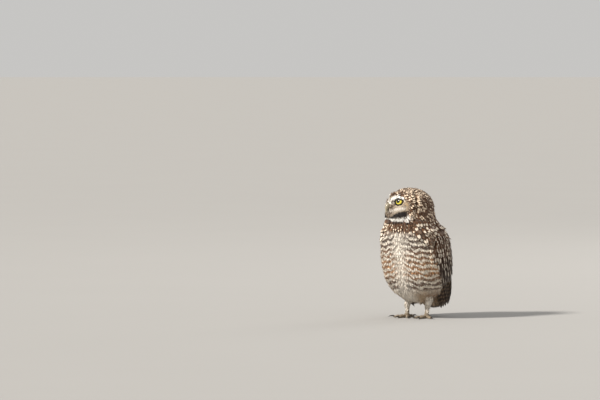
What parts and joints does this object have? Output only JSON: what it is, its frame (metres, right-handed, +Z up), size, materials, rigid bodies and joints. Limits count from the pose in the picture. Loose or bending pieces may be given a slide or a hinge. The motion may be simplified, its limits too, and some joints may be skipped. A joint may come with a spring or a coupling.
{
  "type": "burrowing owl model",
  "caption": "Still, life-size model of a small long-legged ground owl standing upright with its head turned.",
  "frame": {"origin": "on the floor, below the middle of the whole bird's box", "axes": "+Z up; the bird's breast faces -Y and its left side is +X"},
  "size_m": [0.131, 0.1394, 0.2323],
  "materials": {
    "breast_plumage": "soft barred feathers, matte",
    "collar_plumage": "soft spotted feathers, matte",
    "head_plumage": "short spotted feathers, matte",
    "bill_horn": "smooth horn, satin",
    "eye_surface": "wet, clear gloss",
    "wing_feathers": "close feather vanes, slight sheen",
    "tail_feathers": "close feather vanes, slight sheen",
    "leg_plumage": "short downy feathers, matte",
    "leg_skin": "fine scales with sparse bristles, matte",
    "claw_horn": "dark horn, satin"
  },
  "bodies": {
    "root": {"bill_lower": "bill_horn", "bill_upper": "bill_horn", "claw_left_hind": "claw_horn", "claw_left_inner": "claw_horn", "claw_left_middle": "claw_horn", "claw_left_outer": "claw_horn", "claw_right_hind": "claw_horn", "claw_right_inner": "claw_horn", "claw_right_middle": "claw_horn", "claw_right_outer": "claw_horn", "eye_left": "eye_surface", "eye_right": "eye_surface", "foot_left": "leg_skin", "foot_right": "leg_skin", "head": "head_plumage", "neck": "collar_plumage", "tail": "tail_feathers", "tarsus_left": "leg_skin", "tarsus_right": "leg_skin", "thigh_left": "leg_plumage", "thigh_right": "leg_plumage", "toe_left_hind": "leg_skin", "toe_left_inner": "leg_skin", "toe_left_middle": "leg_skin", "toe_left_outer": "leg_skin", "toe_right_hind": "leg_skin", "toe_right_inner": "leg_skin", "toe_right_middle": "leg_skin", "toe_right_outer": "leg_skin", "torso": "breast_plumage", "wing_left": "wing_feathers", "wing_right": "wing_feathers"}
  },
  "joints": []
}
